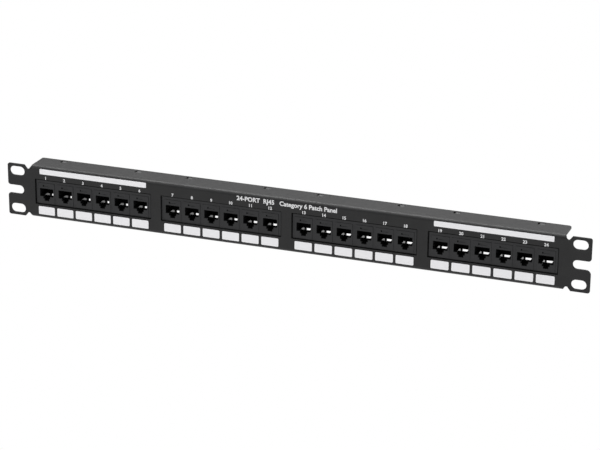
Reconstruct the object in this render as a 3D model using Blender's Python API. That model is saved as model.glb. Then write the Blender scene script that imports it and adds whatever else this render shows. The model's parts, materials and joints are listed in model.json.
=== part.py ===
"""Rack patch panel, one rack unit high: a bent steel channel that holds four snap-in modules of six sockets.

Frame: +X to the right seen from the front, the front face looks along -Y, +Z up, metres.
The origin is the middle of the front plate's front face.
"""

from math import cos, pi, radians, sin, tan

import bmesh
import bpy
from mathutils import Euler, Vector

MM = 0.001

# Driving dimensions of the steel panel.
PANEL_WIDTH = 482.6 * MM
PANEL_HEIGHT = 43.66 * MM
SHEET = 1.5 * MM
FLANGE_DEPTH = 22.6 * MM
FLANGE_HALF_LENGTH = 220.5 * MM
BEND_RADIUS = 3.0 * MM
BEND_OVERRUN = 1.0 * MM
FLANGE_CORNER_LEFT = 1.5 * MM
FLANGE_CORNER_RIGHT = 2.8 * MM

# Rack ears: slots on the EIA hole spacing, with an open notch between them.
EAR_SLOT_X = 232.7 * MM
EAR_SLOT_Z = 15.875 * MM
EAR_SLOT_HEIGHT = 7.5 * MM
EAR_SLOT_LENGTH_LEFT = 12.9 * MM
EAR_SLOT_LENGTH_RIGHT = 11.7 * MM
EAR_NOTCH_END_X = 227.3 * MM
EAR_NOTCH_HEIGHT = 7.1 * MM
EAR_CORNER = 1.8 * MM
NOTCH_LIP = 2.2 * MM
NOTCH_LIP_LOWER_RIGHT = 3.8 * MM
RELIEF_X = 223.2 * MM
RELIEF_DEPTH = 3.3 * MM
RELIEF_RADIUS = 1.3 * MM
RELIEF_FLANK = radians(38)

# Modules and their windows in the front plate.
PORTS_PER_MODULE = 6
PORT_PITCH = 16.51 * MM
MODULE_CENTRES = [-166.1 * MM, -55.6 * MM, 54.9 * MM, 165.4 * MM]
WINDOW_WIDTH = 102.0 * MM
WINDOW_BOTTOM = -10.35 * MM
WINDOW_TOP = 11.05 * MM
WINDOW_CORNER = 0.5 * MM
LATCH_OFFSETS = [-33.85 * MM, 32.3 * MM]
LATCH_HOLE = Vector((5.1, 3.8)) * MM
LATCH_HOLE_Y = 18.5 * MM

# Moulded six-port housing.
HOUSING_WIDTH = 100.5 * MM
HOUSING_BOTTOM = -9.7 * MM
HOUSING_TOP = 10.1 * MM
HOUSING_FRONT = 1.35 * MM
HOUSING_BACK = 17.4 * MM
LIP_OVERHANG = Vector((2.1, 2.5)) * MM
LIP_FRONT = SHEET + 0.35 * MM
LIP_BACK = 3.6 * MM
FACE_FRONT = 1.0 * MM
FACE_WIDTH = 14.3 * MM
FACE_BOTTOM = -9.3 * MM
FACE_TOP = 7.9 * MM

# Socket: a stepped opening with the latch side down, a wider chamber behind it, and a latch channel that
# runs out through the back under the circuit board.
MOUTH_WIDTH = 11.68 * MM
MOUTH_TOP = 3.3 * MM
MOUTH_BOTTOM = -3.4 * MM
STEP_WIDTH = 6.0 * MM
STEP_BOTTOM = -5.2 * MM
KEY_WIDTH = 4.0 * MM
KEY_BOTTOM = -7.1 * MM
MOUTH_LIP_BACK = 3.2 * MM
CHAMBER_WIDTH = 11.9 * MM
CHAMBER_TOP = 6.4 * MM
CHAMBER_BACK = 14.4 * MM
CHANNEL_WIDTH = 7.2 * MM
CHANNEL_BOTTOM = -8.15 * MM
OUTLET_WIDTH = 6.3 * MM
OUTLET_TOP = -5.3 * MM
PORT_SLOT = Vector((5.6, 1.0)) * MM
PORT_SLOT_Z = 5.5 * MM
PORT_SLOT_DEPTH = 0.3 * MM
PIN_HOLE = Vector((0.8, 1.3)) * MM
PIN_HOLE_OFFSET = -2.7 * MM
PIN_HOLE_DEPTH = 1.2 * MM

# Snap hooks that stand on the housing and reach into the latch holes.
HOOK_WIDTH = 3.5 * MM
HOOK_SHIFT = 0.6 * MM
HOOK_POST_FRONT = 13.4 * MM
HOOK_POST_BACK = 17.0 * MM
HOOK_NOSE_FRONT = 16.9 * MM
HOOK_NOSE_BACK = 19.9 * MM
HOOK_NOSE_BASE = 18.6 * MM
HOOK_SHOULDER = 19.9 * MM
HOOK_RAMP_FRONT = 20.95 * MM
HOOK_RAMP_BACK = 21.65 * MM

# Contact set: eight wires in a moulded insert that rocks on its own middle line.
CONTACT_COUNT = 8
CONTACT_PITCH = 1.02 * MM
CONTACT_WIRE = 0.4 * MM
CONTACT_LENGTH = 8.2 * MM
CONTACT_SLOPE = radians(22)
INSERT_WIDTH = 10.0 * MM
INSERT_DEPTH = 2.2 * MM
INSERT_HEIGHT = 1.8 * MM
INSERT_Y = 5.6 * MM
INSERT_Z = 4.8 * MM

# Circuit board, punch-down blocks and rear label.
BOARD_WIDTH = 100.0 * MM
BOARD_BOTTOM = -6.75 * MM
BOARD_TOP = 18.2 * MM
BOARD_FRONT = HOUSING_BACK + 0.35 * MM
BOARD_BACK = BOARD_FRONT + 1.6 * MM
BOARD_CORNER = 1.0 * MM
BLOCK_FRONT = BOARD_BACK + 0.35 * MM
BLOCK_LENGTH = 95.0 * MM
BLOCK_HEIGHT = 10.0 * MM
BLOCK_UPPER_Z = 13.0 * MM
BLOCK_LOWER_Z = -1.0 * MM
BLOCK_BASE_DEPTH = 4.4 * MM
BLOCK_DEPTH = 12.6 * MM
BLOCK_TOOTH_HEIGHT = 7.2 * MM
BLOCK_TIP_HEIGHT = 4.6 * MM
BLOCK_TIP_LENGTH = 1.2 * MM
WIRE_SLOTS = 24
WIRE_SLOT_PITCH = 3.8 * MM
WIRE_SLOT_WIDTH = 1.1 * MM
REAR_LABEL_HEIGHT = 3.2 * MM
REAR_LABEL_WIDTH = 90.0 * MM

# Front labels, laid on the front plate.
LABEL_THICKNESS = 0.2 * MM
LABEL_GAP = 0.1 * MM
LABEL_CENTRES = [-165.8 * MM, -55.2 * MM, 55.2 * MM, 165.8 * MM]
HEADER_WIDTH = 94.0 * MM
HEADER_HEIGHT = 4.75 * MM
HEADER_Z = 17.8 * MM
STRIP_WIDTH = 97.35 * MM
STRIP_HEIGHT = 7.3 * MM
STRIP_Z = -15.2 * MM
LABEL_CORNER = 0.8 * MM

ARC_STEPS = 10

# How far a cutter runs past the surface that it cuts through.
CLEAR = 3.0 * MM


# ---------------------------------------------------------------- outlines

def arc(centre, radius, start, end, steps=ARC_STEPS):
    """Points of an arc from the start angle to the end angle, in radians."""
    angles = [start + (end - start) * i / steps for i in range(steps + 1)]
    return [(centre[0] + radius * cos(a), centre[1] + radius * sin(a)) for a in angles]


def rounded_rectangle(centre, width, height, radius, steps=ARC_STEPS):
    """Anticlockwise outline; a radius of half the height makes a round-ended slot."""
    right = centre[0] + width / 2 - radius
    left = centre[0] - width / 2 + radius
    top = centre[1] + height / 2 - radius
    bottom = centre[1] - height / 2 + radius
    points = arc((right, top), radius, 0, pi / 2, steps)
    points += arc((left, top), radius, pi / 2, pi, steps)
    points += arc((left, bottom), radius, pi, 3 * pi / 2, steps)
    points += arc((right, bottom), radius, 3 * pi / 2, 2 * pi, steps)
    return without_repeats(points)


def without_repeats(points):
    """Drop points that lie on the one before, such as where two half rounds meet."""
    kept = []
    for point in points:
        if not kept or (Vector(point) - Vector(kept[-1])).length > 0.001 * MM:
            kept.append(point)
    if (Vector(kept[0]) - Vector(kept[-1])).length < 0.001 * MM:
        kept.pop()
    return kept


def ear_side_outline(lower_lip):
    """The waste beside the right ear: everything outside its rounded corners and open notch."""
    edge = PANEL_WIDTH / 2
    top = PANEL_HEIGHT / 2
    notch = EAR_NOTCH_HEIGHT / 2
    corner_x = edge - EAR_CORNER
    points = arc((corner_x, top - EAR_CORNER), EAR_CORNER, pi / 2, 0)
    points += arc((edge - NOTCH_LIP, notch + NOTCH_LIP), NOTCH_LIP, 0, -pi / 2)
    points += arc((EAR_NOTCH_END_X + notch, 0), notch, pi / 2, 3 * pi / 2, 2 * ARC_STEPS)
    points += arc((edge - lower_lip, -notch - lower_lip), lower_lip, pi / 2, 0)
    points += arc((corner_x, EAR_CORNER - top), EAR_CORNER, 0, -pi / 2)
    points += [(corner_x, -top - CLEAR), (edge + CLEAR, -top - CLEAR)]
    points += [(edge + CLEAR, top + CLEAR), (corner_x, top + CLEAR)]
    return points


def relief_outline():
    """The waste of the top right bend relief: a round-bottomed V between the flange's end and the ear."""
    top = PANEL_HEIGHT / 2
    centre_z = top - RELIEF_DEPTH + RELIEF_RADIUS
    flank_x = RELIEF_RADIUS * cos(RELIEF_FLANK)
    flank_z = centre_z - RELIEF_RADIUS * sin(RELIEF_FLANK)
    inner_z = flank_z + (RELIEF_X - flank_x - FLANGE_HALF_LENGTH) / tan(RELIEF_FLANK)
    outer_x = RELIEF_X + flank_x + (top + CLEAR - flank_z) * tan(RELIEF_FLANK)
    points = [(FLANGE_HALF_LENGTH, top + CLEAR), (FLANGE_HALF_LENGTH, inner_z)]
    points += arc((RELIEF_X, centre_z), RELIEF_RADIUS, pi + RELIEF_FLANK, 2 * pi - RELIEF_FLANK)
    points += [(outer_x, top + CLEAR)]
    return points


def channel_outline():
    """The waste between the flanges, in Y and Z, with the inside of both bends rounded."""
    radius = BEND_RADIUS - SHEET
    centre = (BEND_RADIUS, PANEL_HEIGHT / 2 - BEND_RADIUS)
    upper = arc(centre, radius, pi, pi / 2)
    upper.append((FLANGE_DEPTH + CLEAR, PANEL_HEIGHT / 2 - SHEET))
    return upper + [(y, -z) for y, z in reversed(upper)]


def behind_ear_outline():
    """The waste behind the right ear, in X and Y; the bends reach a little past the flanges, up to the reliefs."""
    far_x = PANEL_WIDTH / 2 + CLEAR
    bend_end = FLANGE_HALF_LENGTH + BEND_OVERRUN
    return [
        (FLANGE_HALF_LENGTH, BEND_RADIUS),
        (bend_end, BEND_RADIUS),
        (bend_end, SHEET),
        (far_x, SHEET),
        (far_x, FLANGE_DEPTH + CLEAR),
        (FLANGE_HALF_LENGTH, FLANGE_DEPTH + CLEAR),
    ]


def bend_outline():
    """The waste outside the top bend, in Y and Z."""
    top = PANEL_HEIGHT / 2
    points = arc((BEND_RADIUS, top - BEND_RADIUS), BEND_RADIUS, pi, pi / 2, 8)
    return points + [(BEND_RADIUS, top + CLEAR), (-CLEAR, top + CLEAR), (-CLEAR, top - BEND_RADIUS)]


def flange_corner_outline(side, radius):
    """The waste outside a flange's rounded rear corner, in X and Y; side is 1 for the right end, -1 for the left."""
    end = side * FLANGE_HALF_LENGTH
    centre = (end - side * radius, FLANGE_DEPTH - radius)
    start = 0 if side > 0 else pi
    points = arc(centre, radius, start, pi / 2)
    points += [(centre[0], FLANGE_DEPTH + CLEAR), (end + side * CLEAR, FLANGE_DEPTH + CLEAR)]
    return points + [(end + side * CLEAR, centre[1])]


# ---------------------------------------------------------------- solids

def new_object(name, mesh, collection):
    solid = bpy.data.objects.new(name, mesh)
    collection.objects.link(solid)
    return solid


def add_boxes(name, corners):
    """One helper mesh of separate boxes, each given by its lowest and highest corner."""
    shape = bmesh.new()
    for low, high in corners:
        made = bmesh.ops.create_cube(shape, size=1.0)
        for vertex in made["verts"]:
            vertex.co = [low[i] if vertex.co[i] < 0 else high[i] for i in range(3)]
    mesh = bpy.data.meshes.new(name)
    shape.to_mesh(mesh)
    shape.free()
    return new_object(name, mesh, helpers)


def add_outline(name, outline, plane, start, end):
    """Extrude a flat outline. Plane XZ runs from Y = start to end, plane YZ along X and plane XY along Z."""
    curve = bpy.data.curves.new(name, "CURVE")
    curve.dimensions = "2D"
    curve.fill_mode = "BOTH"
    curve.extrude = 1 * MM
    spline = curve.splines.new("POLY")
    spline.points.add(len(outline) - 1)
    for point, (across, up) in zip(spline.points, outline):
        point.co = (across, up, 0, 1)
    spline.use_cyclic_u = True
    drawn = new_object(name + "_outline", curve, helpers)
    bpy.context.view_layer.update()
    mesh = bpy.data.meshes.new_from_object(drawn.evaluated_get(bpy.context.evaluated_depsgraph_get()))
    bpy.data.objects.remove(drawn)
    for vertex in mesh.vertices:
        across, up, side = vertex.co
        along = start if side < 0 else end
        places = {"XY": (across, up, along), "XZ": (across, along, up), "YZ": (along, across, up)}
        vertex.co = places[plane]
    shape = bmesh.new()
    shape.from_mesh(mesh)
    bmesh.ops.remove_doubles(shape, verts=shape.verts, dist=0.0005 * MM)
    bmesh.ops.dissolve_limit(shape, angle_limit=radians(0.1), verts=shape.verts, edges=shape.edges)
    bmesh.ops.recalc_face_normals(shape, faces=shape.faces)
    shape.to_mesh(mesh)
    shape.free()
    return new_object(name, mesh, helpers)


def combine(target, tool, operation):
    """Join the tool to the target or cut it away, and use the tool up."""
    modifier = target.modifiers.new(operation.lower(), "BOOLEAN")
    modifier.solver = "EXACT"
    modifier.operation = operation
    modifier.object = tool
    bpy.context.view_layer.update()
    result = bpy.data.meshes.new_from_object(target.evaluated_get(bpy.context.evaluated_depsgraph_get()))
    target.modifiers.clear()
    target.data = result
    bpy.data.objects.remove(tool)
    return target


def place(name, template, material, location=(0, 0, 0)):
    """A named piece that shares the template's mesh."""
    mesh = template.data
    if not mesh.materials:
        mesh.materials.append(material)
        mesh.shade_smooth()
        mesh.set_sharp_from_angle(angle=radians(30))
    piece = new_object(name, mesh, panel)
    piece.location = location
    return piece


def make_material(name, colour, roughness, metallic=0.0):
    material = bpy.data.materials.new(name)
    material.use_nodes = True
    shader = material.node_tree.nodes["Principled BSDF"]
    shader.inputs["Base Color"].default_value = (*colour, 1.0)
    shader.inputs["Roughness"].default_value = roughness
    shader.inputs["Metallic"].default_value = metallic
    return material


# ---------------------------------------------------------------- pieces

def port_offsets():
    """Sideways offsets of the ports from their module's centre."""
    return [(i - (PORTS_PER_MODULE - 1) / 2) * PORT_PITCH for i in range(PORTS_PER_MODULE)]


def mirrored(outline, across, up):
    """The outline turned over sideways and upwards, by factors of 1 or -1."""
    return [(a * across, b * up) for a, b in outline]


def make_panel_frame():
    half_height = PANEL_HEIGHT / 2
    block = [((-PANEL_WIDTH / 2, 0, -half_height), (PANEL_WIDTH / 2, FLANGE_DEPTH, half_height))]
    frame = add_boxes("front_block", block)
    waste = [
        (channel_outline(), "YZ", -PANEL_WIDTH / 2 - CLEAR, PANEL_WIDTH / 2 + CLEAR),
        (behind_ear_outline(), "XY", -half_height - CLEAR, half_height + CLEAR),
        (mirrored(behind_ear_outline(), -1, 1), "XY", -half_height - CLEAR, half_height + CLEAR),
        (ear_side_outline(NOTCH_LIP_LOWER_RIGHT), "XZ", -CLEAR, SHEET + CLEAR),
        (mirrored(ear_side_outline(NOTCH_LIP), -1, 1), "XZ", -CLEAR, SHEET + CLEAR),
        (flange_corner_outline(-1, FLANGE_CORNER_LEFT), "XY", -half_height - CLEAR, half_height + CLEAR),
        (flange_corner_outline(1, FLANGE_CORNER_RIGHT), "XY", -half_height - CLEAR, half_height + CLEAR),
    ]
    for up in (-1, 1):
        waste.append((mirrored(bend_outline(), 1, up), "YZ", -RELIEF_X, RELIEF_X))
        for across in (-1, 1):
            waste.append((mirrored(relief_outline(), across, up), "XZ", -CLEAR, BEND_RADIUS + CLEAR))
            length = EAR_SLOT_LENGTH_RIGHT if across > 0 else EAR_SLOT_LENGTH_LEFT
            centre = (across * EAR_SLOT_X, up * EAR_SLOT_Z)
            slot = rounded_rectangle(centre, length, EAR_SLOT_HEIGHT, EAR_SLOT_HEIGHT / 2)
            waste.append((slot, "XZ", -CLEAR, SHEET + CLEAR))
    window_height = WINDOW_TOP - WINDOW_BOTTOM
    window_z = (WINDOW_TOP + WINDOW_BOTTOM) / 2
    for x in MODULE_CENTRES:
        window = rounded_rectangle((x, window_z), WINDOW_WIDTH, window_height, WINDOW_CORNER, 2)
        waste.append((window, "XZ", -CLEAR, SHEET + CLEAR))
    for outline, plane, start, end in waste:
        combine(frame, add_outline("waste", outline, plane, start, end), "DIFFERENCE")

    holes = []
    for x in MODULE_CENTRES:
        for offset in LATCH_OFFSETS:
            low = (x + offset - LATCH_HOLE.x / 2, LATCH_HOLE_Y - LATCH_HOLE.y / 2, -half_height - CLEAR)
            high = (x + offset + LATCH_HOLE.x / 2, LATCH_HOLE_Y + LATCH_HOLE.y / 2, half_height + CLEAR)
            holes.append((low, high))
    return combine(frame, add_boxes("latch_holes", holes), "DIFFERENCE")


def mouth_outline(x):
    """Stepped socket opening, latch side down, centred on x."""
    half_steps = [
        (KEY_WIDTH / 2, KEY_BOTTOM),
        (KEY_WIDTH / 2, STEP_BOTTOM),
        (STEP_WIDTH / 2, STEP_BOTTOM),
        (STEP_WIDTH / 2, MOUTH_BOTTOM),
        (MOUTH_WIDTH / 2, MOUTH_BOTTOM),
        (MOUTH_WIDTH / 2, MOUTH_TOP),
    ]
    right = [(x + across, z) for across, z in half_steps]
    left = [(x - across, z) for across, z in reversed(half_steps)]
    return right + left


def hook_section():
    """Side view of a top hook: a post on the housing with a nose whose ramp rises through the latch hole."""
    return [
        (HOOK_POST_FRONT, HOUSING_TOP - 1 * MM),
        (HOOK_POST_BACK, HOUSING_TOP - 1 * MM),
        (HOOK_POST_BACK, HOOK_NOSE_BASE),
        (HOOK_NOSE_BACK, HOOK_NOSE_BASE),
        (HOOK_NOSE_BACK, HOOK_RAMP_BACK),
        (HOOK_NOSE_FRONT, HOOK_RAMP_FRONT),
        (HOOK_NOSE_FRONT, HOOK_SHOULDER),
        (HOOK_POST_FRONT + 1.6 * MM, HOOK_SHOULDER),
    ]


def make_housing():
    half = HOUSING_WIDTH / 2
    housing = add_boxes("housing", [((-half, HOUSING_FRONT, HOUSING_BOTTOM), (half, HOUSING_BACK, HOUSING_TOP))])
    lip_low = (-half - LIP_OVERHANG.x, LIP_FRONT, HOUSING_BOTTOM - LIP_OVERHANG.y)
    lip_high = (half + LIP_OVERHANG.x, LIP_BACK, HOUSING_TOP + LIP_OVERHANG.y)
    combine(housing, add_boxes("lip", [(lip_low, lip_high)]), "UNION")
    faces = []
    chambers = []
    channels = []
    slots = []
    pin_holes = []
    for x in port_offsets():
        faces.append((
            (x - FACE_WIDTH / 2, FACE_FRONT, FACE_BOTTOM),
            (x + FACE_WIDTH / 2, HOUSING_FRONT + 0.5 * MM, FACE_TOP)))
        chambers.append((
            (x - CHAMBER_WIDTH / 2, MOUTH_LIP_BACK, MOUTH_BOTTOM - 0.1 * MM),
            (x + CHAMBER_WIDTH / 2, CHAMBER_BACK, CHAMBER_TOP)))
        channels.append((
            (x - CHANNEL_WIDTH / 2, MOUTH_LIP_BACK, CHANNEL_BOTTOM),
            (x + CHANNEL_WIDTH / 2, CHAMBER_BACK, MOUTH_BOTTOM)))
        slots.append((
            (x - PORT_SLOT.x / 2, 0, PORT_SLOT_Z - PORT_SLOT.y / 2),
            (x + PORT_SLOT.x / 2, FACE_FRONT + PORT_SLOT_DEPTH, PORT_SLOT_Z + PORT_SLOT.y / 2)))
        pin_x = x + PIN_HOLE_OFFSET
        pin_holes.append((
            (pin_x - PIN_HOLE.x / 2, 0, PORT_SLOT_Z - PIN_HOLE.y / 2),
            (pin_x + PIN_HOLE.x / 2, FACE_FRONT + PIN_HOLE_DEPTH, PORT_SLOT_Z + PIN_HOLE.y / 2)))
    combine(housing, add_boxes("port_faces", faces), "UNION")
    for up in (-1, 1):
        upright = mirrored(hook_section(), 1, up)
        for offset in LATCH_OFFSETS:
            low = offset + HOOK_SHIFT - HOOK_WIDTH / 2
            hook = add_outline("hook", upright, "YZ", low, low + HOOK_WIDTH)
            combine(housing, hook, "UNION")
    for x in port_offsets():
        mouth = add_outline("mouth", mouth_outline(x), "XZ", 0, MOUTH_LIP_BACK + 0.5 * MM)
        combine(housing, mouth, "DIFFERENCE")
    combine(housing, add_boxes("chambers", chambers), "DIFFERENCE")
    combine(housing, add_boxes("channels", channels), "DIFFERENCE")
    outlets = []
    for x in port_offsets():
        outlets.append((
            (x - OUTLET_WIDTH / 2, CHAMBER_BACK - 0.5 * MM, CHANNEL_BOTTOM),
            (x + OUTLET_WIDTH / 2, HOUSING_BACK + 1 * MM, OUTLET_TOP)))
    combine(housing, add_boxes("outlets", outlets), "DIFFERENCE")
    combine(housing, add_boxes("pin_holes", pin_holes), "DIFFERENCE")
    return combine(housing, add_boxes("port_slots", slots), "DIFFERENCE")


def make_contact_set():
    """Insert and wires about the rocking axis, which lies along X through the origin."""
    insert_low = (-INSERT_WIDTH / 2, -INSERT_DEPTH / 2, -INSERT_HEIGHT / 2)
    insert_high = (INSERT_WIDTH / 2, INSERT_DEPTH / 2, INSERT_HEIGHT / 2)
    contacts = add_boxes("contacts", [(insert_low, insert_high)])
    wires = []
    for i in range(CONTACT_COUNT):
        x = (i - (CONTACT_COUNT - 1) / 2) * CONTACT_PITCH
        wires.append((
            (x - CONTACT_WIRE / 2, 0, -CONTACT_WIRE / 2),
            (x + CONTACT_WIRE / 2, CONTACT_LENGTH, CONTACT_WIRE / 2)))
    comb = add_boxes("wires", wires)
    comb.data.transform(Euler((-CONTACT_SLOPE, 0, 0)).to_matrix().to_4x4())
    return combine(contacts, comb, "UNION")


def make_idc_block():
    """Punch-down block: a base with a row of tapered teeth, and a wire slot between each two."""
    shoulder = BLOCK_BASE_DEPTH + 0.8 * MM
    half_section = [
        (0, BLOCK_HEIGHT / 2),
        (BLOCK_BASE_DEPTH, BLOCK_HEIGHT / 2),
        (shoulder, BLOCK_TOOTH_HEIGHT / 2),
        (BLOCK_DEPTH - BLOCK_TIP_LENGTH, BLOCK_TOOTH_HEIGHT / 2),
        (BLOCK_DEPTH, BLOCK_TIP_HEIGHT / 2),
    ]
    section = half_section + [(y, -z) for y, z in reversed(half_section)]
    block = add_outline("block_bar", section, "YZ", -BLOCK_LENGTH / 2, BLOCK_LENGTH / 2)
    slots = []
    for i in range(WIRE_SLOTS):
        x = (i - (WIRE_SLOTS - 1) / 2) * WIRE_SLOT_PITCH
        slots.append((
            (x - WIRE_SLOT_WIDTH / 2, shoulder, -BLOCK_HEIGHT),
            (x + WIRE_SLOT_WIDTH / 2, BLOCK_DEPTH + 1 * MM, BLOCK_HEIGHT)))
    return combine(block, add_boxes("wire_slots", slots), "DIFFERENCE")


def make_label(name, width, height, start, end):
    outline = rounded_rectangle((0, 0), width, height, LABEL_CORNER, 3)
    return add_outline(name, outline, "XZ", start, end)


def make_circuit_board():
    height = BOARD_TOP - BOARD_BOTTOM
    outline = rounded_rectangle((0, 0), BOARD_WIDTH, height, BOARD_CORNER, 2)
    return add_outline("board", outline, "XZ", BOARD_FRONT, BOARD_BACK)


# ---------------------------------------------------------------- assembly

def build():
    steel = make_material("painted_steel", (0.036, 0.036, 0.037), 0.45, 0.3)
    plastic = make_material("housing_plastic", (0.045, 0.046, 0.05), 0.4)
    white = make_material("label_white", (0.86, 0.86, 0.87), 0.5)
    board_green = make_material("board", (0.02, 0.12, 0.05), 0.4)
    terminal_plastic = make_material("terminal_plastic", (0.03, 0.03, 0.032), 0.45)
    gold = make_material("contact_gold", (0.83, 0.61, 0.25), 0.25, 1.0)

    place("panel_frame", make_panel_frame(), steel)

    label_back = -LABEL_GAP
    label_front = label_back - LABEL_THICKNESS
    header = make_label("header", HEADER_WIDTH, HEADER_HEIGHT, label_front, label_back)
    place("header_label_left", header, white, (LABEL_CENTRES[0], 0, HEADER_Z))
    place("header_label_right", header, white, (LABEL_CENTRES[-1], 0, HEADER_Z))
    strip = make_label("strip", STRIP_WIDTH, STRIP_HEIGHT, label_front, label_back)

    housing = make_housing()
    contacts = make_contact_set()
    board = make_circuit_board()
    block = make_idc_block()
    rear_front = BOARD_BACK + LABEL_GAP
    rear_label = make_label("rear", REAR_LABEL_WIDTH, REAR_LABEL_HEIGHT, rear_front, rear_front + 2 * LABEL_THICKNESS)
    between_blocks = (BLOCK_UPPER_Z + BLOCK_LOWER_Z) / 2
    board_middle = (BOARD_TOP + BOARD_BOTTOM) / 2

    for number, centre in enumerate(MODULE_CENTRES, start=1):
        place(f"port_label_strip_{number}", strip, white, (LABEL_CENTRES[number - 1], 0, STRIP_Z))
        place(f"jack_housing_{number}", housing, plastic, (centre, 0, 0))
        place(f"circuit_board_{number}", board, board_green, (centre, 0, board_middle))
        place(f"idc_block_{number}_upper", block, terminal_plastic, (centre, BLOCK_FRONT, BLOCK_UPPER_Z))
        place(f"idc_block_{number}_lower", block, terminal_plastic, (centre, BLOCK_FRONT, BLOCK_LOWER_Z))
        place(f"rear_label_{number}", rear_label, white, (centre, 0, between_blocks))
        for i, offset in enumerate(port_offsets()):
            port = (number - 1) * PORTS_PER_MODULE + i + 1
            place(f"contact_set_{port:02d}", contacts, gold, (centre + offset, INSERT_Y, INSERT_Z))

    for template in list(helpers.objects):
        bpy.data.objects.remove(template)


for leftover in list(bpy.data.objects):
    bpy.data.objects.remove(leftover)
panel = bpy.data.collections.new("patch_panel")
helpers = bpy.data.collections.new("helpers")
bpy.context.scene.collection.children.link(panel)
bpy.context.scene.collection.children.link(helpers)
build()
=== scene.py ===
"""Looks of the rack patch panel: powder-coated channel, socket modules, labels, print and rear terminals.

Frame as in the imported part, in metres: +X to the right seen from the front, the front face looks along -Y,
+Z up.
"""

import json
from math import cos, pi, radians, sin

import bmesh
import bpy
from mathutils import Matrix, Vector


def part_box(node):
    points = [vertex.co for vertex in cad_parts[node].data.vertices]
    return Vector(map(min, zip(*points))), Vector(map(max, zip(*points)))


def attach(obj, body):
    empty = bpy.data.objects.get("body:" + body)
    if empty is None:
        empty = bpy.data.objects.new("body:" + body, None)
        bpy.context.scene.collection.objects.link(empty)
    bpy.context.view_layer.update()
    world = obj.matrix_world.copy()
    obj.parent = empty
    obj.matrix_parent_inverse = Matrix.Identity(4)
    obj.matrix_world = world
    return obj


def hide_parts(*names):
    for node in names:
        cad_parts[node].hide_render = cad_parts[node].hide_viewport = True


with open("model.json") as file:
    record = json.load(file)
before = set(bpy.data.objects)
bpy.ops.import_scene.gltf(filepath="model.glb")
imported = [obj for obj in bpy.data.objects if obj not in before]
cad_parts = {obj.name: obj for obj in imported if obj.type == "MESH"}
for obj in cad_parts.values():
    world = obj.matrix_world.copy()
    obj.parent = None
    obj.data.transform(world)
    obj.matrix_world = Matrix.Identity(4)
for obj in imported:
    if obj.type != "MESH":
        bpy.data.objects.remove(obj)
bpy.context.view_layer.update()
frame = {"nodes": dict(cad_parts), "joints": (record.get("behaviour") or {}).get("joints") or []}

MM = 0.001
BODY = "panel"
MODULES = range(1, 5)
PORTS_PER_MODULE = 6
PORTS = range(1, 25)

# Camera of the catalogue view.
CAMERA_PLACE = Vector((0.56223, -1.51485, 0.59239))
CAMERA_TARGET = Vector((0.01105, 0.0, 0.00195))
CAMERA_ROLL = radians(0.533)
CAMERA_LENS = 132.83
CAMERA_SENSOR = 36

FLOOR_HALF_WIDTH = 4.0
FLOOR_GAP = 0.05 * MM

# Studio lights: name, degrees round from straight behind towards the left, degrees up, distance, width,
# height and radiance.
WORLD_STRENGTH = 0.35
LIGHTS = [
    ("softbox_behind", 20, 40, 1.7, 1.8, 0.45, 2.6),
    ("softbox_behind_high", 20, 60, 1.7, 1.8, 0.45, 8.2),
    ("softbox_overhead", 0, 90, 1.7, 1.8, 0.6, 5.0),
    ("softbox_front_high", 180, 60, 1.7, 1.8, 0.6, 1.7),
    ("softbox_front_left", 130, 25, 1.8, 0.8, 0.8, 2.2),
]

# Print and labels on the front plate.
TITLE = "24-PORT  RJ45   Category 6 Patch Panel"
TITLE_WIDTH = 83.0 * MM
TITLE_X = -0.3 * MM
TITLE_Z = 17.6 * MM
NUMBER_HEIGHT = 2.6 * MM
NUMBER_SHIFTS = [0.0, 0.6 * MM, 0.6 * MM, 0.0]
NUMBER_Z = 12.55 * MM
INK_THICKNESS = 0.02 * MM
LETTER_BOLD = 0.03
LETTER_STEPS = 5
LETTER_MIDDLE = 0.36
PAPER_MARGIN = 0.25 * MM
FIELD_WIDTH = 14.3 * MM
FIELD_PITCH = 16.52 * MM
FIELD_CORNER = 0.8 * MM
HEADER_CORNER = 0.6 * MM
FILM_THICKNESS = 0.1 * MM
PAPER_THICKNESS = 0.1 * MM

# Rounded edges, and how far surfaces turn at a corner that is rounded or sharp.
CORNER_ANGLE = radians(35)
FLAT_ANGLE = radians(0.5)
MERGE_DISTANCE = 0.002 * MM
STEEL_EDGE = 0.22 * MM
MOULDED_EDGE = 0.16 * MM
BLOCK_EDGE = 0.14 * MM
BOARD_EDGE = 0.1 * MM
MODULE_FRONT_END = 1.2 * MM

# Where the bends run out into the bend reliefs.
BEND_START_Y = 0.1 * MM
BEND_START_Z = 18.0 * MM
BEND_END_X = (220.4 * MM, 223.3 * MM)

# Insides of the sockets, about a port's middle.
SOCKET_HALF_WIDTH = 6.1 * MM
SOCKET_BOTTOM = -8.4 * MM
SOCKET_TOP = 6.6 * MM
SOCKET_FRONT = 1.6 * MM
SOCKET_BACK = 17.2 * MM
LATCH_CHANNEL_TOP = -3.5 * MM
LATCH_CHANNEL_BACK = 14.0 * MM
SIDE_WALL_NORMAL = 0.9

# Contact sets: eight wires that leave a comb and slope down to the back.
WIRES = 8
WIRE_PITCH = 1.02 * MM
WIRE_RADIUS = 0.19 * MM
WIRE_PATH = [(-1.0, -0.72), (0.6, -0.7), (2.2, -1.05), (5.0, -2.12), (6.9, -2.85), (7.5, -2.96)]
COMB_RIB = 0.5 * MM
COMB_FLOOR = -0.45 * MM
COMB_EDGE = 0.08 * MM

# Forked clips in the wire slots of the punch-down blocks.
CLIPS_PER_BLOCK = 24
CLIP_PITCH = 3.8 * MM
CLIP_HALF_WIDTH = 0.6 * MM
CLIP_GAP = 0.11 * MM
CLIP_THICKNESS = 0.4 * MM
CLIP_ROOT = 5.0 * MM
CLIP_TIP = 10.2 * MM
CLIP_LEAD_IN = 1.0 * MM

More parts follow.
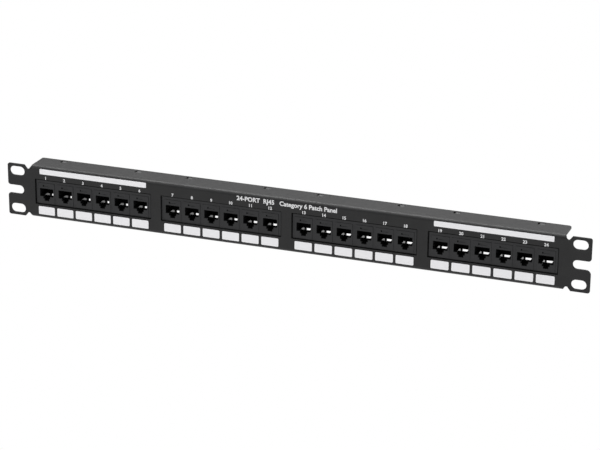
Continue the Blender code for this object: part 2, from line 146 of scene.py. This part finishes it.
# Rear label: a row of colour patches over and under the port numbers.
WIRE_PAIRS = {"upper": ["blue", "orange"], "lower": ["green", "brown"]}
PATCH_WIDTH = 2.4 * MM
PATCH_HEIGHT = 0.7 * MM
PATCH_CORNER = 0.1 * MM
PATCH_Z = 1.05 * MM
REAR_NUMBER_HEIGHT = 0.95 * MM
PORT_PITCH = 16.51 * MM


# ---------------------------------------------------------------- materials

def new_material(name, colour, roughness, metallic=0.0, specular=0.5):
    """A material with its plain values set on the shader, and that shader."""
    made = bpy.data.materials.new(name)
    made.use_nodes = True
    shader = made.node_tree.nodes["Principled BSDF"]
    shader.inputs["Base Color"].default_value = (*colour, 1.0)
    shader.inputs["Roughness"].default_value = roughness
    shader.inputs["Metallic"].default_value = metallic
    shader.inputs["Specular IOR Level"].default_value = specular
    return made, shader


def add_node(made, kind, **values):
    """A node whose inputs take the given values; underscores in a name stand for spaces."""
    node = made.node_tree.nodes.new(kind)
    for key, value in values.items():
        node.inputs[key.replace("_", " ")].default_value = value
    return node


def place_in_object(made):
    """The socket that gives the place on the object, in metres."""
    return add_node(made, "ShaderNodeTexCoord").outputs["Object"]


def noise(made, size, detail=2.0, roughness=0.5):
    """Noise with features about as large as size, in metres."""
    node = add_node(made, "ShaderNodeTexNoise", Scale=1.0 / size, Detail=detail, Roughness=roughness)
    made.node_tree.links.new(place_in_object(made), node.inputs["Vector"])
    return node.outputs["Fac"]


def spread(made, value, low, high, from_low=0.3, from_high=0.7):
    """The value, which lies about from_low to from_high, as a number from low to high."""
    node = add_node(made, "ShaderNodeMapRange")
    for key, number in (("From Min", from_low), ("From Max", from_high), ("To Min", low), ("To Max", high)):
        node.inputs[key].default_value = number
    made.node_tree.links.new(value, node.inputs["Value"])
    return node.outputs["Result"]


def two_colours(made, shader, value, first, second):
    """Base colour from first to second as the value goes from 0 to 1."""
    ramp = made.node_tree.nodes.new("ShaderNodeValToRGB")
    ramp.color_ramp.elements[0].color = (*first, 1.0)
    ramp.color_ramp.elements[1].color = (*second, 1.0)
    made.node_tree.links.new(value, ramp.inputs["Fac"])
    made.node_tree.links.new(ramp.outputs["Color"], shader.inputs["Base Color"])


def mottled(made, shader, size, detail, first, second):
    """Base colour that drifts between two colours in patches of about the given size."""
    two_colours(made, shader, spread(made, noise(made, size, detail), 0, 1), first, second)


def shades(colour, *shares):
    """The colour made lighter or darker by each share."""
    return [[share * c for c in colour] for share in shares]


def bumps(made, shader, layers):
    """Raise the surface by noise; each layer is a feature size and a height, in metres."""
    last = None
    for size, height in layers:
        bump = add_node(made, "ShaderNodeBump", Strength=1.0, Distance=height)
        made.node_tree.links.new(noise(made, size), bump.inputs["Height"])
        if last is not None:
            made.node_tree.links.new(last, bump.inputs["Normal"])
        last = bump.outputs["Normal"]
    made.node_tree.links.new(last, shader.inputs["Normal"])


def uneven_gloss(made, shader, size, low, high):
    """Roughness that drifts from low to high."""
    made.node_tree.links.new(spread(made, noise(made, size), low, high), shader.inputs["Roughness"])


def make_powder_coat():
    made, shader = new_material("powder_coat", (0.012, 0.012, 0.0125), 0.45, specular=0.32)
    mottled(made, shader, 14 * MM, 4.0, (0.0105, 0.0105, 0.011), (0.014, 0.014, 0.0142))
    uneven_gloss(made, shader, 5 * MM, 0.4, 0.5)
    bumps(made, shader, [(0.45 * MM, 0.006 * MM), (1.6 * MM, 0.012 * MM)])
    return made


def make_moulded(name, colour, rough_low, rough_high, specular=0.4):
    made, shader = new_material(name, colour, rough_low, specular=specular)
    mottled(made, shader, 9 * MM, 3.0, *shades(colour, 0.86, 1.14))
    uneven_gloss(made, shader, 3 * MM, rough_low, rough_high)
    bumps(made, shader, [(0.25 * MM, 0.004 * MM)])
    return made


def make_polished_channel():
    """Inside of the latch channels, where the mould is polished."""
    made, shader = new_material("polished_channel", (0.01, 0.01, 0.011), 0.1, specular=0.8)
    mottled(made, shader, 6 * MM, 2.0, (0.008, 0.008, 0.009), (0.012, 0.012, 0.013))
    uneven_gloss(made, shader, 2 * MM, 0.07, 0.12)
    return made


def make_paper(name, colour):
    made, shader = new_material(name, colour, 0.5, specular=0.35)
    mottled(made, shader, 4 * MM, 5.0, *shades(colour, 0.975, 1))
    uneven_gloss(made, shader, 2 * MM, 0.42, 0.55)
    bumps(made, shader, [(0.3 * MM, 0.003 * MM)])
    return made


def make_ink(name, colour):
    made, shader = new_material(name, colour, 0.55, specular=0.3)
    mottled(made, shader, 0.5 * MM, 3.0, *shades(colour, 0.93, 1))
    return made


def make_metal(name, colour, low, high):
    made, shader = new_material(name, colour, low, metallic=1.0)
    mottled(made, shader, 1.5 * MM, 3.0, *shades(colour, 0.85, 1))
    uneven_gloss(made, shader, 0.8 * MM, low, high)
    return made


def make_solder_mask():
    """Green solder mask with the copper runs showing through it as paler lines."""
    made, shader = new_material("solder_mask", (0.01, 0.1, 0.035), 0.3)
    runs = add_node(made, "ShaderNodeTexBrick", Scale=1.0, Mortar_Size=0.09 * MM, Mortar_Smooth=0.2)
    runs.inputs["Brick Width"].default_value = 3.8 * MM
    runs.inputs["Row Height"].default_value = 0.95 * MM
    turn = add_node(made, "ShaderNodeMapping")
    turn.inputs["Rotation"].default_value = (radians(90), 0, 0)
    made.node_tree.links.new(place_in_object(made), turn.inputs["Vector"])
    made.node_tree.links.new(turn.outputs["Vector"], runs.inputs["Vector"])
    two_colours(made, shader, runs.outputs["Fac"], (0.008, 0.085, 0.03), (0.03, 0.2, 0.08))
    uneven_gloss(made, shader, 4 * MM, 0.25, 0.4)
    return made


steel = make_powder_coat()
plastic = make_moulded("housing_plastic", (0.0105, 0.0107, 0.012), 0.34, 0.46)
channel_plastic = make_polished_channel()
# The housing plastic made darker and duller for the faces inside the sockets: painted shade, not a different
# plastic.
painted_shade_socket_plastic = make_moulded("socket_inside_painted_shade", (0.006, 0.006, 0.0065), 0.6, 0.75, specular=0.1)
terminal_plastic = make_moulded("terminal_plastic", (0.012, 0.012, 0.0125), 0.35, 0.45)
comb_plastic = make_moulded("comb_plastic", (0.006, 0.006, 0.006), 0.5, 0.6)
film = make_moulded("label_film", (0.011, 0.011, 0.0115), 0.4, 0.5)
paper = make_paper("label_white", (0.92, 0.915, 0.935))
white_ink = make_ink("white_ink", (0.82, 0.82, 0.83))
black_ink = make_ink("black_ink", (0.02, 0.02, 0.02))
gold = make_metal("contact_gold", (0.86, 0.62, 0.26), 0.2, 0.3)
tin = make_metal("clip_tin", (0.72, 0.72, 0.7), 0.25, 0.4)
solder_mask = make_solder_mask()
WIRE_COLOURS = {
    "orange": make_ink("code_orange", (0.8, 0.2, 0.02)),
    "green": make_ink("code_green", (0.02, 0.25, 0.05)),
    "blue": make_ink("code_blue", (0.02, 0.08, 0.45)),
    "brown": make_ink("code_brown", (0.16, 0.06, 0.025)),
}


# ---------------------------------------------------------------- mesh helpers

def new_piece(name, mesh, materials, body, replaces=(), place=(0, 0, 0)):
    """An object of the visual model that rides on a body."""
    piece = bpy.data.objects.new(name, mesh)
    piece.location = place
    bpy.context.scene.collection.objects.link(piece)
    for made in materials:
        mesh.materials.append(made)
    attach(piece, body)
    if replaces:
        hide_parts(*replaces)
    return piece


def with_round_edges(mesh, width, segments=2):
    """The mesh with the edges that carry a bevel weight rounded."""
    holder = bpy.data.objects.new("holder", mesh)
    bpy.context.scene.collection.objects.link(holder)
    mesh.shade_smooth()
    bevel = holder.modifiers.new("edges", "BEVEL")
    bevel.width = width
    bevel.segments = segments
    bevel.limit_method = "WEIGHT"
    bevel.use_clamp_overlap = False
    flat = holder.modifiers.new("normals", "WEIGHTED_NORMAL")
    flat.weight = 100
    flat.keep_sharp = True
    bpy.context.view_layer.update()
    rounded = bpy.data.meshes.new_from_object(holder.evaluated_get(bpy.context.evaluated_depsgraph_get()))
    bpy.data.objects.remove(holder)
    return rounded


def anywhere(place):
    return True


def refined_mesh(node, width, rounded=anywhere):
    """A CAD node's surface with whole flat faces, and its corners rounded where rounded(place) is true."""
    shape = bmesh.new()
    shape.from_mesh(frame["nodes"][node].data)
    bmesh.ops.remove_doubles(shape, verts=shape.verts, dist=MERGE_DISTANCE)
    bmesh.ops.dissolve_limit(shape, angle_limit=FLAT_ANGLE, verts=shape.verts, edges=shape.edges)
    weights = shape.edges.layers.float.new("bevel_weight_edge")
    for edge in shape.edges:
        corner = edge.is_manifold and edge.calc_face_angle() > CORNER_ANGLE
        if corner and all(rounded(vertex.co) for vertex in edge.verts):
            edge[weights] = 1.0
        edge.smooth = not (corner and edge[weights] == 0.0)
    mesh = bpy.data.meshes.new(node + "_looks")
    shape.to_mesh(mesh)
    shape.free()
    return with_round_edges(mesh, width)


def middle(node):
    low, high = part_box(node)
    return (low + high) / 2


def rounded_outline(centre, width, height, radius, steps=5):
    """Points of a rectangle with rounded corners about a centre."""
    points = []
    for turn, (across, up) in enumerate([(1, 1), (-1, 1), (-1, -1), (1, -1)]):
        corner_x = centre[0] + across * (width / 2 - radius)
        corner_z = centre[1] + up * (height / 2 - radius)
        for i in range(steps + 1):
            angle = (turn + i / steps) * pi / 2
            points.append((corner_x + radius * cos(angle), corner_z + radius * sin(angle)))
    return points


def add_slab(shape, outline, start, end, slot=0, plane="XZ"):
    """A closed slab: the outline in the given plane, from start to end along the third axis."""
    def at(point, depth):
        a, b = point
        return (a, depth, b) if plane == "XZ" else (a, b, depth)

    near = [shape.verts.new(at(point, start)) for point in outline]
    far = [shape.verts.new(at(point, end)) for point in outline]
    faces = [shape.faces.new(near), shape.faces.new(far)]
    for i in range(len(outline)):
        j = (i + 1) % len(outline)
        faces.append(shape.faces.new((near[i], near[j], far[j], far[i])))
    for face in faces:
        face.material_index = slot


def add_wire(shape, x, path, radius, sides=8):
    """A round wire along a path in Y and Z, with closed ends."""
    rings = []
    for i, (y, z) in enumerate(path):
        before = path[max(i - 1, 0)]
        after = path[min(i + 1, len(path) - 1)]
        along = Vector((after[0] - before[0], after[1] - before[1])).normalized()
        ring = []
        for k in range(sides):
            angle = 2 * pi * k / sides
            across = radius * sin(angle)
            point = (x + radius * cos(angle), y - across * along.y, z + across * along.x)
            ring.append(shape.verts.new(point))
        rings.append(ring)
    for ring, following in zip(rings, rings[1:]):
        for k in range(sides):
            n = (k + 1) % sides
            shape.faces.new((ring[k], ring[n], following[n], following[k]))
    shape.faces.new(rings[0])
    shape.faces.new(rings[-1])


def add_bar(shape, low, high):
    outline = [(low.x, low.z), (high.x, low.z), (high.x, high.z), (low.x, high.z)]
    add_slab(shape, outline, low.y, high.y)


def finished(shape, name):
    """The bmesh as a mesh whose faces all look outwards."""
    bmesh.ops.recalc_face_normals(shape, faces=shape.faces)
    mesh = bpy.data.meshes.new(name)
    shape.to_mesh(mesh)
    shape.free()
    return mesh


def with_sharp_corners(mesh):
    mesh.shade_smooth()
    mesh.set_sharp_from_angle(angle=CORNER_ANGLE)
    return mesh


def smoothed_path(points, cuts=3):
    """The path with its corners cut off, a few times over."""
    for _ in range(cuts):
        finer = [points[0]]
        for (y0, z0), (y1, z1) in zip(points, points[1:]):
            finer.append((0.75 * y0 + 0.25 * y1, 0.75 * z0 + 0.25 * z1))
            finer.append((0.25 * y0 + 0.75 * y1, 0.25 * z0 + 0.75 * z1))
        points = finer + [points[-1]]
    return points


def text_mesh(words):
    """Bold letters of unit size about the origin, in X and Y, with a flat front."""
    curve = bpy.data.curves.new("letters", "FONT")
    curve.body = words
    curve.align_x = "CENTER"
    curve.offset = LETTER_BOLD
    curve.resolution_u = LETTER_STEPS
    holder = bpy.data.objects.new("letters", curve)
    bpy.context.scene.collection.objects.link(holder)
    bpy.context.view_layer.update()
    mesh = bpy.data.meshes.new_from_object(holder.evaluated_get(bpy.context.evaluated_depsgraph_get()))
    bpy.data.objects.remove(holder)
    return mesh


def add_text(shape, words, place, facing, height=None, width=None, slot=0):
    """Printed letters centred on a place, of a height or a width.

    Facing is -1 for letters that are read from the front, 1 for letters that are read from behind.
    """
    letters = bmesh.new()
    letters.from_mesh(text_mesh(words))
    xs = [vertex.co.x for vertex in letters.verts]
    ys = [vertex.co.y for vertex in letters.verts]
    size = width / (max(xs) - min(xs)) if width else height / (max(ys) - min(ys))
    centre_x = (max(xs) + min(xs)) / 2
    centre_y = (max(ys) + min(ys)) / 2 if height else LETTER_MIDDLE
    made = {}
    for vertex in letters.verts:
        x = place.x - facing * (vertex.co.x - centre_x) * size
        z = place.z + (vertex.co.y - centre_y) * size
        depths = (place.y, place.y + facing * INK_THICKNESS)
        made[vertex] = [shape.verts.new((x, y, z)) for y in depths]
    for face in letters.faces:
        for side in (0, 1):
            shape.faces.new([made[vertex][side] for vertex in face.verts]).material_index = slot
    for edge in letters.edges:
        if edge.is_boundary:
            first, second = (made[vertex] for vertex in edge.verts)
            shape.faces.new((first[0], second[0], second[1], first[1])).material_index = slot
    letters.free()


# ---------------------------------------------------------------- pieces

def clear_of_reliefs(place):
    """False at the thin ends of the bends, which are too narrow to be rounded."""
    in_bend_end = BEND_END_X[0] < abs(place.x) < BEND_END_X[1]
    return place.y < BEND_START_Y or abs(place.z) < BEND_START_Z or not in_bend_end


def add_panel():
    """The bent steel channel with its ears."""
    mesh = refined_mesh("panel_frame", STEEL_EDGE, clear_of_reliefs)
    new_piece("steel_channel", mesh, [steel], BODY, ["panel_frame"])


def on_module_front(place):
    """True on the front of a module, where its edges are rounded."""
    return place.y < MODULE_FRONT_END


def port_places(number):
    """The middles of a module's contact sets, which are its ports' places."""
    last = number * PORTS_PER_MODULE
    return [middle(f"contact_set_{port:02d}") for port in range(last - PORTS_PER_MODULE + 1, last + 1)]


def paint_insides(mesh, places):
    """Second material, a darker and duller copy of the plastic that paints the shade inside the sockets, on
    the faces there; third on the side walls of the latch channels.
    """
    for face in mesh.polygons:
        spot = face.center
        inside = SOCKET_FRONT < spot.y < SOCKET_BACK and SOCKET_BOTTOM < spot.z < SOCKET_TOP
        if inside and min(abs(spot.x - place.x) for place in places) < SOCKET_HALF_WIDTH:
            in_channel = spot.z < LATCH_CHANNEL_TOP and spot.y < LATCH_CHANNEL_BACK
            side_wall = abs(face.normal.x) > SIDE_WALL_NORMAL
            face.material_index = 2 if in_channel and side_wall else 1


def add_modules():
    """Four six-port socket modules with painted shade inside the sockets, and polished latch channels."""
    for number in MODULES:
        node = f"jack_housing_{number}"
        mesh = refined_mesh(node, MOULDED_EDGE, on_module_front)
        paint_insides(mesh, port_places(number))
        # The second material paints the shade inside the sockets.
        materials = [plastic, painted_shade_socket_plastic, channel_plastic]
        new_piece(f"socket_module_{number}", mesh, materials, BODY, [node])


def add_front_labels():
    """Write-on strips of six white fields on a black film, and two white header strips."""
    for number in MODULES:
        node = f"port_label_strip_{number}"
        low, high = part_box(node)
        centre = (low + high) / 2
        shape = bmesh.new()
        film_outline = rounded_outline((centre.x, centre.z), high.x - low.x, high.z - low.z, FIELD_CORNER)
        add_slab(shape, film_outline, -FILM_THICKNESS, 0)
        paper_height = high.z - low.z - 2 * PAPER_MARGIN
        for i in range(PORTS_PER_MODULE):
            x = centre.x + (i - (PORTS_PER_MODULE - 1) / 2) * FIELD_PITCH
            field = rounded_outline((x, centre.z), FIELD_WIDTH, paper_height, FIELD_CORNER)
            add_slab(shape, field, -FILM_THICKNESS - PAPER_THICKNESS, -FILM_THICKNESS / 2, 1)
        mesh = with_sharp_corners(finished(shape, "label_strip"))
        new_piece(f"label_strip_{number}", mesh, [film, paper], BODY, [node])
    for side in ("left", "right"):
        node = f"header_label_{side}"
        low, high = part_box(node)
        centre = (low + high) / 2
        shape = bmesh.new()
        size = (high.x - low.x - 2 * PAPER_MARGIN, high.z - low.z - 2 * PAPER_MARGIN)
        header = rounded_outline((centre.x, centre.z), *size, HEADER_CORNER)
        add_slab(shape, header, -FILM_THICKNESS - PAPER_THICKNESS, 0)
        mesh = with_sharp_corners(finished(shape, "header_strip"))
        new_piece(f"header_strip_{side}", mesh, [paper], BODY, [node])


def add_print():
    """Port numbers over the sockets, and the title between the headers."""
    numbers = bmesh.new()
    for port in PORTS:
        shift = NUMBER_SHIFTS[(port - 1) // PORTS_PER_MODULE]
        place = Vector((middle(f"contact_set_{port:02d}").x + shift, 0, NUMBER_Z))
        add_text(numbers, str(port), place, -1, height=NUMBER_HEIGHT)
    new_piece("printed_port_numbers", finished(numbers, "port_numbers"), [white_ink], BODY)
    title = bmesh.new()
    add_text(title, TITLE, Vector((TITLE_X, 0, TITLE_Z)), -1, width=TITLE_WIDTH)
    new_piece("printed_title", finished(title, "title"), [white_ink], BODY)


def contact_meshes():
    """The comb and the wires of one contact set, about its hinge."""
    low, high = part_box("contact_set_01")
    joint = next(joint for joint in frame["joints"] if joint["name"] == "contact_spring_01")
    hinge = Vector(joint["pos_m"])
    half_width = (high.x - low.x) / 2
    front = low.y - hinge.y
    top = high.z - hinge.z
    comb = bmesh.new()
    add_bar(comb, Vector((-half_width, front, COMB_FLOOR)), Vector((half_width, -front, top)))
    for i in range(WIRES + 1):
        x = (i - WIRES / 2) * WIRE_PITCH
        rib_low = Vector((x - COMB_RIB / 2, front, -top))
        add_bar(comb, rib_low, Vector((x + COMB_RIB / 2, -front, COMB_FLOOR + COMB_EDGE)))
    wires = bmesh.new()
    path = [(y * MM, z * MM) for y, z in smoothed_path(WIRE_PATH)]
    for i in range(WIRES):
        add_wire(wires, (i - (WIRES - 1) / 2) * WIRE_PITCH, path, WIRE_RADIUS)
    return with_sharp_corners(finished(comb, "comb")), with_sharp_corners(finished(wires, "wires"))


def add_contacts():
    """A comb and eight wires for each port, on its own body."""
    comb_mesh, wire_mesh = contact_meshes()
    comb_mesh.materials.append(comb_plastic)
    wire_mesh.materials.append(gold)
    for port, joint in zip(PORTS, frame["joints"]):
        hinge = Vector(joint["pos_m"])
        body = f"contacts_{port:02d}"
        new_piece(f"contact_comb_{port:02d}", comb_mesh, [], body, place=hinge)
        node = f"contact_set_{port:02d}"
        new_piece(f"contact_wires_{port:02d}", wire_mesh, [], body, [node], place=hinge)


def clip_mesh():
    """A row of forked clips for one punch-down block, about the middle of its front."""
    shape = bmesh.new()
    for i in range(CLIPS_PER_BLOCK):
        x = (i - (CLIPS_PER_BLOCK - 1) / 2) * CLIP_PITCH
        for side in (-1, 1):
            tine = [
                (x + side * CLIP_GAP, CLIP_ROOT),
                (x + side * CLIP_HALF_WIDTH, CLIP_ROOT),
                (x + side * CLIP_HALF_WIDTH, CLIP_TIP),
                (x + side * CLIP_GAP, CLIP_TIP - CLIP_LEAD_IN),
            ]
            add_slab(shape, tine, -CLIP_THICKNESS / 2, CLIP_THICKNESS / 2, plane="XY")
    return with_sharp_corners(finished(shape, "clips"))


def add_terminals():
    """Circuit boards, punch-down blocks with their clips, and the colour-coded rear labels."""
    clips = clip_mesh()
    clips.materials.append(tin)
    for number in MODULES:
        node = f"circuit_board_{number}"
        new_piece(f"board_{number}", refined_mesh(node, BOARD_EDGE), [solder_mask], BODY, [node])
        for row in WIRE_PAIRS:
            node = f"idc_block_{number}_{row}"
            mesh = refined_mesh(node, BLOCK_EDGE)
            name = f"terminal_block_{number}_{row}"
            new_piece(name, mesh, [terminal_plastic], BODY, [node])
            place = middle(node)
            place.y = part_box(node)[0].y
            new_piece(f"terminal_clips_{number}_{row}", clips, [], BODY, place=place)
        add_rear_label(number)


def wire_patches(port_x, pair, wire):
    """Middles and widths of one wire's colour patches; a pair's striped wire has two narrow ones."""
    x = port_x + (1.5 - 2 * pair - wire) * CLIP_PITCH
    if wire:
        return [(x, PATCH_WIDTH)]
    return [(x + side * PATCH_WIDTH / 3, PATCH_WIDTH / 4) for side in (-1, 1)]


def add_rear_label(number):
    """White strip with port numbers and a patch of colour for each wire."""
    node = f"rear_label_{number}"
    low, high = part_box(node)
    centre = (low + high) / 2
    shape = bmesh.new()
    strip = rounded_outline((centre.x, centre.z), high.x - low.x, high.z - low.z, FIELD_CORNER)
    add_slab(shape, strip, low.y, high.y)
    ink_end = high.y + INK_THICKNESS
    colours = list(WIRE_COLOURS)
    first = middle(f"contact_set_{(number - 1) * PORTS_PER_MODULE + 1:02d}").x
    for port in range(PORTS_PER_MODULE):
        port_x = first + port * PORT_PITCH
        place = Vector((port_x, high.y, centre.z))
        name = str((number - 1) * PORTS_PER_MODULE + port + 1)
        add_text(shape, name, place, 1, height=REAR_NUMBER_HEIGHT, slot=1)
        for row, pairs in WIRE_PAIRS.items():
            z = centre.z + (PATCH_Z if row == "upper" else -PATCH_Z)
            for pair, colour in enumerate(pairs):
                slot = 2 + colours.index(colour)
                for wire in (0, 1):
                    for x, width in wire_patches(port_x, pair, wire):
                        patch = rounded_outline((x, z), width, PATCH_HEIGHT, PATCH_CORNER, 2)
                        add_slab(shape, patch, high.y, ink_end, slot)
    mesh = with_sharp_corners(finished(shape, "rear_label"))
    materials = [paper, black_ink, *WIRE_COLOURS.values()]
    new_piece(f"wiring_label_{number}", mesh, materials, BODY, [node])


def add_camera():
    """Long lens, from above and from the right."""
    camera = bpy.data.objects.new("camera", bpy.data.cameras.new("camera"))
    bpy.context.scene.collection.objects.link(camera)
    camera.data.lens = CAMERA_LENS
    camera.data.sensor_width = CAMERA_SENSOR
    aim = (CAMERA_TARGET - CAMERA_PLACE).to_track_quat("-Z", "Y").to_matrix().to_4x4()
    camera.matrix_world = Matrix.Translation(CAMERA_PLACE) @ aim @ Matrix.Rotation(CAMERA_ROLL, 4, "Z")
    bpy.context.scene.camera = camera


def add_floor():
    """Plain white floor just under the panel."""
    half = FLOOR_HALF_WIDTH
    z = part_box("panel_frame")[0].z - FLOOR_GAP
    corners = [(-half, -half, z), (half, -half, z), (half, half, z), (-half, half, z)]
    mesh = bpy.data.meshes.new("floor")
    mesh.from_pydata(corners, [], [(0, 1, 2, 3)])
    floor = bpy.data.objects.new("floor", mesh)
    bpy.context.scene.collection.objects.link(floor)
    made, shader = new_material("floor_white", (0.0, 0.0, 0.0), 1.0, specular=0.0)
    shader.inputs["Emission Color"].default_value = (1, 1, 1, 1)
    shader.inputs["Emission Strength"].default_value = 1.0
    mesh.materials.append(made)


def add_lights():
    """Large soft boxes around the panel and a dim grey surround."""
    for name, round_angle, up_angle, distance, width, height, radiance in LIGHTS:
        turn = radians(round_angle)
        rise = radians(up_angle)
        lamp = bpy.data.lights.new(name, "AREA")
        lamp.shape = "RECTANGLE"
        lamp.size = width
        lamp.size_y = height
        lamp.energy = radiance * pi * width * height
        light = bpy.data.objects.new(name, lamp)
        bpy.context.scene.collection.objects.link(light)
        light.location = distance * Vector((-sin(turn) * cos(rise), cos(turn) * cos(rise), sin(rise)))
        light.rotation_euler = (-light.location).to_track_quat("-Z", "Y").to_euler()
    world = bpy.data.worlds.new("studio")
    bpy.context.scene.world = world
    world.use_nodes = True
    background = world.node_tree.nodes["Background"]
    background.inputs["Color"].default_value = (1, 1, 1, 1)
    background.inputs["Strength"].default_value = WORLD_STRENGTH
    bpy.context.scene.view_settings.view_transform = "Standard"


add_camera()
add_floor()
add_lights()
add_panel()
add_modules()
add_front_labels()
add_print()
add_contacts()
add_terminals()

bpy.context.view_layer.update()
